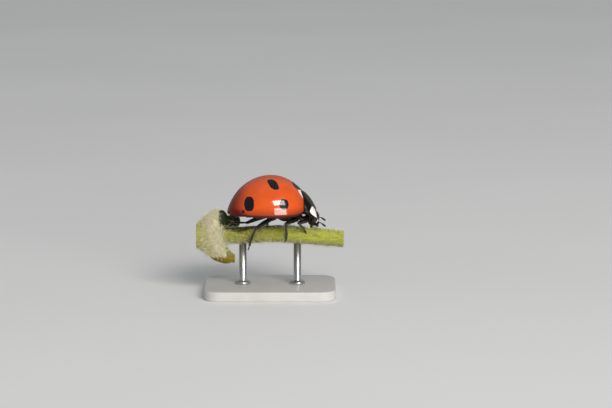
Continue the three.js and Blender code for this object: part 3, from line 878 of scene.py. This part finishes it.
# Sections of the node, from the old stem to the cut leaf stalk: x, top, bottom and half width.
NODE = (
    (-5.95, 0.80, -1.14, 0.88),
    (-5.30, 1.30, -1.44, 0.98),
    (-4.75, 1.72, -2.05, 1.04),
    (-4.30, 1.90, -2.28, 1.00),
    (-4.00, 0.90, -2.38, 0.86),
    (-3.65, -0.80, -2.42, 0.68),
    (-3.20, -1.44, -2.38, 0.50),
    (-2.85, -1.72, -2.38, 0.36),
)
STALK_END = -2.85  # where the leaf stalk under the stem is cut
STALK_TOP = -1.2  # the stalk lies lower than this, and the stem higher
SWELLING, SWELLING_RADII = (-3.98, 0.35, 1.13), (0.58, 0.46, 0.78)
# The stalk of the leaf on the far side, from its foot to where it is cut off square.
FAR_STALK = ((-4.1, 0.75, 0.6), (-3.35, 1.45, 0.76), (-2.71, 1.91, 0.74))
FAR_STALK_RADIUS = 0.5
SKIN_BUMP = 0.006


def stem_axis(x):
    """Height of the stem's axis: a low arch."""
    fore, rear = 0.12 - 0.09 * x, 0.02 + 0.045 * x
    return 0.5 * (fore + rear - np.hypot(fore - rear, 0.1))


def stem_radius(x):
    return 0.66 + 0.2 * ease(-x, 3.4, 4.8)


def node_edge(z):
    """Where the woolly collar of the node ends, which leans back with height."""
    return -3.86 - 0.24 * np.clip(z, -1.6, 1.6)


def stalk():
    """The stem's own length, with shallow ribs."""
    x, angle = np.linspace(-STEM_HALF, STEM_HALF, 160)[:, None], full_turn(96)
    r = stem_radius(x) * (1 + 0.014 * np.sin(angle * 9 + x * 0.3))
    return loop_body(xyz(x, r * np.cos(angle), stem_axis(x) + r * np.sin(angle)))


def node_body():
    """The swollen node as a skin over its sections."""
    x, top, bottom, half = spline(NODE, 60).T[..., None]
    angle = full_turn(64)
    lobes = 1 + 0.02 * np.sin(angle * 5 + x * 2.5) + 0.015 * np.sin(angle * 8 - x * 4)
    return loop_body(xyz(x, half * lobes * np.cos(angle),
                         (top + bottom) / 2 + (top - bottom) / 2 * lobes * np.sin(angle)))


def painted_beetle_shadow(points):
    """Painted shadow of the beetle on the stem's top, from the node to under the beetle's breast."""
    x, y, z = points.T
    low = 0.1 + 0.3 * np.clip(np.abs(x + 2.5), 0, 1)
    along = ease(x, -4, -3.8) * ease(-x, -1.5, -0.5)
    return along * ease(z - stem_axis(x), low, low + 0.25) * (np.abs(y) < 0.75)


def far_stalk_zones(points):
    """Whether points are on the far leaf's stalk, its side with painted shade and its cut, and how far
    out.
    """
    x, y, z = points.T
    on = ease(y, 0.72, 0.88) * ease(x - node_edge(z), -0.05, 0.05)
    on *= ease(z, 0.05, 0.15) * (x < -2)
    along = unit(np.subtract(FAR_STALK[-1], FAR_STALK[-2]))
    offset = points - FAR_STALK[-1]
    past = offset @ along
    cut = on * ease(past, -0.05, -0.03)
    radial = np.linalg.norm(offset - past[:, None] * along, axis=1) / FAR_STALK_RADIUS
    # The side towards the beetle and the stem gets painted shade.
    outside = offset @ unit(np.cross([0, 0, 1], along))
    return on, on * (1 - 0.8 * ease(outside, -0.05, 0.4)), cut, radial


def stem_zones(points):
    """How far each point is in each zone of the stem's skin, and how far it is off the middle."""
    x, y, z = points.T
    axis = stem_axis(x)
    edge = x - node_edge(z)
    node = ease(-edge, -0.05, 0.1)
    on_stalk = (z < STALK_TOP) & (x < 0)
    stem_cut = ease(np.abs(x) - STEM_HALF, -0.05, -0.03)
    stalk_cut = ease(x - STALK_END, -0.03, -0.01) * on_stalk
    on_far_stalk, shaded, far_cut, off_far_middle = far_stalk_zones(points)
    # Painted shade on the swelling and on the far stalk's side towards the beetle.
    swelling = ease(x, -4.24, -4.14) * ease(z, 0.55, 0.75) * ease(y, -0.34, -0.22)
    swelling = np.where(on_far_stalk > 0.5, shaded, np.maximum(swelling, shaded))
    return {
        "node": node,
        "wool": node * ease(edge, -1.25, -0.85),
        # Painted shade on the stem's underside.
        "under": ease(axis - z, 0.1, 0.7) * (1 - node),
        "cut": np.max([stem_cut, stalk_cut, far_cut], axis=0),
        "pith": np.where(far_cut > 0, off_far_middle, np.hypot(y, z - axis) / stem_radius(x)),
        "brown": np.minimum(ease(-z, 1.65, 1.95) + 0.7 * ease(x, -3.6, -3.1) * on_stalk, 1),
        # Painted shade on the swelling and far stalk, with the beetle's painted shadow on the stem's
        # top.
        "dark": np.maximum(swelling, 0.8 * painted_beetle_shadow(points)),
        # Partly the stem's own tone, partly painted shade under the beetle.
        "rear_shade_and_tone": ease(-x, -1.8, 0.8),
    }


def perch():
    """The cut stem with the node, whose leaves are cut back to short stalks."""
    far_stalk = sweep(spline(FAR_STALK, 14), FAR_STALK_RADIUS, 40, round_ends=False)
    shapes = [stalk(), node_body(), ball(SWELLING, SWELLING_RADII), far_stalk]
    points, faces = fused(shapes, voxel=0.034, smoothing=5)
    waves, fineness = 14, 4.5
    bumps = np.sin(points @ rng.normal(size=(3, waves)) * fineness + rng.uniform(0, 6.3, waves)).sum(1)
    x = points[:, 0]
    away = points - xyz(x, 0, stem_axis(x))
    off_cuts = ease(STEM_HALF - np.abs(x), 0.03, 0.2)
    off_cuts *= ease(np.abs(x - STALK_END), 0.02, 0.1)
    points = points + unit(away) * (SKIN_BUMP * bumps * off_cuts)[:, None]
    piece = add_piece("stem_skin", (points, faces), STEM, "perch_stem", slot="stem_green",
                      **stem_zones(points))
    stem_hair(piece)


# -------- hairs

HAIRY = []  # pieces with fine hair, how many hairs each has, and how long they are
SOLES = []  # roots of the brushes under each foot, and the way they point
TRUNK_HAIRS, TRUNK_HAIR_LENGTH = 260, 0.09
LEG_HAIR_LENGTH = 0.065
FINE_RADIUS, FINE_SINK = 0.0035, 0.004
BRUSH_LENGTH, BRUSH_RADIUS = 0.075, 0.006
STEM_TRIES = 30000  # places tried for the stem's hairs
STEM_HAIR_RADIUS, STEM_HAIR_SINK = 0.0105, 0.01
HAIR_SIDES, HAIR_STEPS = 3, 3
HAIR_BEND = 0.25
MAP_RADIUS, MAP_STEP, MAP_TIP = 0.0009, 0.0012, 0.0014  # a hair's patch of the map


def unwrapped(roots):
    """A place on the map for each root: along the stem, and around it."""
    margin, used, reach = 0.02, 0.95, 6.2
    x, y, z = roots.T
    around = np.arctan2(z - stem_axis(x), y) / (2 * np.pi) + 0.5
    return np.stack([margin + used * (x + reach) / (2 * reach), margin + used * around], -1)


def add_hair(name, finish, roots, sink, directions, lengths, radius):
    """Tapered bent hairs as one mesh, sunk by a little; each keeps a patch of the map."""
    count = len(roots)
    patches = unwrapped(roots)
    roots = roots - sink
    directions = unit(directions)
    helper = np.where(np.abs(directions[:, 2:3]) > 0.9, (1, 0, 0), (0, 0, 1))
    right = unit(np.cross(directions, helper))
    up = np.cross(directions, right)
    bend = unit(rng.normal(size=(count, 3))) * HAIR_BEND
    lengths = lengths[:, None]
    points, maps = [], []
    for t in np.arange(HAIR_STEPS) / HAIR_STEPS:
        centre = roots + directions * lengths * t + bend * lengths * t * t
        size = radius * (1 - 0.75 * t)
        for w in full_turn(HAIR_SIDES):
            c, s = np.cos(w), np.sin(w)
            points.append(centre + size * c * right + size * s * up)
            maps.append(patches + [MAP_RADIUS * c, MAP_RADIUS * s + MAP_STEP * t])
    points.append(roots + directions * lengths + bend * lengths)
    maps.append(patches + [0, MAP_TIP])
    tip = HAIR_STEPS * HAIR_SIDES
    last = tip - HAIR_SIDES
    pattern = [tuple(range(HAIR_SIDES))[::-1]]
    pattern += [(a, d, c, b) for a, b, c, d in grid_faces(HAIR_STEPS, HAIR_SIDES, closed=True)]
    pattern += [(last + k, last + (k + 1) % HAIR_SIDES, tip) for k in range(HAIR_SIDES)]
    faces = [tuple(v + hair * (tip + 1) for v in face) for hair in range(count) for face in pattern]
    piece = mesh_object(name, to_world(np.stack(points, 1).reshape(-1, 3)), faces)
    layer = piece.data.uv_layers.new(name="OFBake")
    maps = np.stack(maps, 1).reshape(-1, 2)
    corners = stored(piece.data.loops, "vertex_index", kind=np.int32)
    layer.data.foreach_set("uv", maps[corners].ravel())
    finish_piece(piece, finish)


def surface_samples(piece, count):
    """Random points and normals on a mesh, in the specimen frame."""
    mesh = piece.data
    mesh.calc_loop_triangles()
    points = stored(mesh.vertices, "co", 3) / MM - (0, 0, STEM_Z)
    a, b, c = (points[column] for column in stored(mesh.loop_triangles, "vertices", 3, np.int32).T)
    cross = np.cross(b - a, c - a)
    area = np.linalg.norm(cross, axis=1)
    pick = rng.choice(len(area), count, p=area / area.sum())
    r1, r2 = np.sqrt(rng.random((count, 1))), rng.random((count, 1))
    places = a[pick] * (1 - r1) + b[pick] * r1 * (1 - r2) + c[pick] * r1 * r2
    return places, unit(cross[pick])


def stem_hair(piece):
    """Short silky hairs on the stem, denser and longer on the node."""
    roots, normals = surface_samples(piece, STEM_TRIES)
    x, _, z = roots.T
    node = ease(-x, 3.3, 3.9) * ease(x, -5.8, -5.2)
    share = 0.5 + 0.5 * node
    # The cut stalk with its foot, and the swelling, are nearly bald.
    share[(z < -1.7) | ((x > -4.2) & (z > 0.65) & (x < -3))] = 0.04
    on_far_stalk, shaded, far_cut, _ = far_stalk_zones(roots)
    # Fewer hairs on the far stalk's side with painted shade.
    share = np.where(on_far_stalk > 0.5, 0.45 - 0.4 * shaded, share) * (far_cut == 0)
    # Fewer hairs in the beetle's painted shadow, so that it stays deep.
    share *= 1 - 0.85 * painted_beetle_shadow(roots)
    on_cut = (np.abs(normals[:, 0]) > 0.93) & (np.abs(x) > STEM_HALF - 0.2)
    keep = ~on_cut & (np.abs(x) < STEM_HALF - 0.02) & (rng.random(len(roots)) < share)
    roots, normals, node = roots[keep], normals[keep], node[keep]
    wild = rng.normal(size=roots.shape) * (0.5 + 0.3 * node)[:, None]
    lean = unit(normals + wild + [0.2, 0, 0])
    lengths = (0.1 + 0.2 * rng.random(len(roots)) ** 1.5) * (1 + 0.6 * node)
    on_node = node > 0.5
    for name, chosen, finish in (("stem_hair", ~on_node, STEM_HAIR),
                                 ("node_hair", on_node, NODE_HAIR)):
        add_hair(name, finish, roots[chosen], normals[chosen] * STEM_HAIR_SINK,
                 lean[chosen], lengths[chosen], STEM_HAIR_RADIUS)


def beetle_hair():
    """Fine hairs on the legs and the underside."""
    samples = [(*surface_samples(piece, count), length * rng.uniform(0.7, 1.2, count))
               for piece, count, length in HAIRY]
    roots, normals, lengths = (np.concatenate(column) for column in zip(*samples))
    lean = unit(normals + rng.normal(size=normals.shape) * 0.3 + [-0.1, 0, -0.5])
    add_hair("beetle_hair", FINE_HAIR, roots, normals * FINE_SINK, lean, lengths,
             FINE_RADIUS)


def foot_brushes():
    """The pale brushes under the feet."""
    roots, lean = (np.vstack(column) for column in zip(*SOLES))
    lean = unit(lean + rng.normal(size=lean.shape) * 0.25)
    lengths = np.full(len(roots), BRUSH_LENGTH)
    add_hair("foot_brushes", SOLE_HAIR, roots, 0, lean, lengths, BRUSH_RADIUS)


# -------- the stand

STAND_SIZE = (10.6, 7.4, 0.8)
STAND_CORNER = 1.3
STAND_BEVEL = 0.12
RODS = (("stand_rod_front", 2.2), ("stand_rod_rear", -2.2))  # where each stands along the stem
ROD_RADIUS = 0.3
# The foot of a rod, turned in steps: radii and heights above the base.
ROD_FOOT = ((0.6, 0), (0.62, 0.02), (0.62, 0.17), (0.6, 0.2), (0.51, 0.27), (0.47, 0.285),
            (0.34, 0.285), (0.31, 0.3), (ROD_RADIUS, 0.34))
STAND_TOP = STAND_SIZE[2] - STEM_Z


def stand_base():
    """A plate with rounded corners and rounded edges."""
    corners = np.repeat(((1, 1), (-1, 1), (-1, -1), (1, -1)), 17, axis=0)
    centres = corners * (np.array(STAND_SIZE[:2]) / 2 - STAND_CORNER)
    angle = np.radians([90 * k + a for k in range(4) for a in np.linspace(0, 90, 17)])
    around = np.stack([np.cos(angle), np.sin(angle)], -1)
    rings = []
    for level, sign in ((-STEM_Z, 1), (STAND_TOP, -1)):
        for edge in np.linspace(0, np.pi / 2, 6)[::sign]:
            outline = centres + (STAND_CORNER - STAND_BEVEL * (1 - np.sin(edge))) * around
            rings.append(xyz(*outline.T, level + sign * STAND_BEVEL * (1 - np.cos(edge))))
    add_piece("stand_base_plate", loop_body(rings), PAINT, "stand_base", slot="stand_paint")


def stand_rod(name, x):
    """A turned rod, from its foot on the base into the stem."""
    angle = full_turn(64)
    profile = [(r, STAND_TOP + h) for r, h in ROD_FOOT] + [(ROD_RADIUS, stem_axis(x) - 0.5)]
    rings = [xyz(x + r * np.cos(angle), r * np.sin(angle), z) for r, z in profile]
    add_piece(f"{name}_turned", loop_body(rings), STEEL, name, slot="stand_steel")


# -------- set, in metres

FLOOR_HALF = 3
LIGHT_TARGET = (0, 0, 0.007)
# The area lights: name, place, width and height, power, colour.
LAMPS = (
    ("key", (0.172, -0.4, 0.279), (0.29, 0.14), 1.7, (1, 0.98, 0.96)),
    ("low_key", (0.203, -0.471, 0.083), (0.32, 0.1), 0.85, (1, 0.96, 0.93)),
    ("back", (0.1, 0.5, 0.32), (0.8, 0.6), 0.18, (1, 1, 1)),
    ("top", (0, 0.05, 0.6), (0.6, 0.6), 0.12, (1, 1, 1)),
)
ROOM_COLOUR, ROOM_STRENGTH = (0.88, 0.91, 0.94, 1), 0.27
VIEW_RISE = np.radians(9.5)  # the camera looks down by this much
VIEW_WIDTH = 49.33 * MM  # width of the view at the beetle
VIEW_CENTRE = (2.9 * MM, 0, 7.33 * MM)
VIEW_DISTANCE = 0.22
SENSOR_WIDTH = 36


def floor():
    ends = (-FLOOR_HALF, FLOOR_HALF)
    plane = mesh_object("floor", np.array([(x, y, 0) for x in ends for y in ends]), [(0, 2, 3, 1)])
    plane.data.materials.append(floor_finish().material)


def aimed(name, data, place, target):
    """A light or a camera at a place, turned to a target."""
    thing = new_object(name, data)
    thing.location = place
    thing.rotation_euler = (Vector(target) - thing.location).to_track_quat("-Z", "Y").to_euler()
    return thing


def area_light(name, place, size, power, colour):
    data = bpy.data.lights.new(name, "AREA")
    data.shape = "RECTANGLE"
    data.size, data.size_y = size
    data.energy = power
    data.color = colour
    aimed(name, data, place, LIGHT_TARGET)


def room():
    """The pale light that comes from all round."""
    world = bpy.data.worlds.new("studio")
    world.use_nodes = True
    inputs = world.node_tree.nodes["Background"].inputs
    inputs["Color"].default_value = ROOM_COLOUR
    inputs["Strength"].default_value = ROOM_STRENGTH
    scene = bpy.context.scene
    scene.world = world
    scene.view_settings.view_transform = "Standard"


def camera():
    data = bpy.data.cameras.new("camera")
    data.sensor_width = SENSOR_WIDTH
    data.lens = SENSOR_WIDTH * VIEW_DISTANCE / VIEW_WIDTH
    data.clip_start = 0.001
    data.clip_end = 20
    back = VIEW_DISTANCE * np.array([0, -np.cos(VIEW_RISE), np.sin(VIEW_RISE)])
    bpy.context.scene.camera = aimed("camera", data, VIEW_CENTRE + back, VIEW_CENTRE)


# -------- the model

WING_CASE = wing_case_finish()
CUTICLE = cuticle_finish()
PRONOTUM = cuticle_finish("pronotum", roughness=(0.3, 0.45), coat=0.1, gloss=0.08, patch="patch")
HEAD_SKIN = cuticle_finish("head", patch="patch", grain=22)
LIMB = cuticle_finish("limb", (0.006, 0.005, 0.004), (0.24, 0.4), 24, 0.5)
BELLY = cuticle_finish("underside", roughness=(0.45, 0.6), coat=0)
PALE = cuticle_finish("pale_plate", (0.55, 0.52, 0.45), (0.4, 0.55), 20, 0.1)
EYE = eye_finish()
STEM = stem_finish()
STEM_HAIR = hair_finish("stem_hair", (0.74, 0.75, 0.42), (0.88, 0.88, 0.68))
NODE_HAIR = hair_finish("node_hair", (0.84, 0.79, 0.55), (0.95, 0.91, 0.72))
FINE_HAIR = hair_finish("fine_hair", (0.3, 0.25, 0.18), (0.45, 0.4, 0.32))
SOLE_HAIR = hair_finish("sole_hair", (0.62, 0.55, 0.42), (0.75, 0.7, 0.58))
PAINT = paint_finish()
STEEL = steel_finish()

camera()
both_sides(elytron)
scutellum()
pronotum()
trunk()
prothorax()
both_sides(side_plate)
head()
mouth()
both_sides(eye, antenna, palp)
for leg_row in LEGS.items():
    leg(*leg_row)
beetle_hair()
foot_brushes()
perch()
stand_base()
for rod_row in RODS:
    stand_rod(*rod_row)
floor()
for lamp_row in LAMPS:
    area_light(*lamp_row)
room()
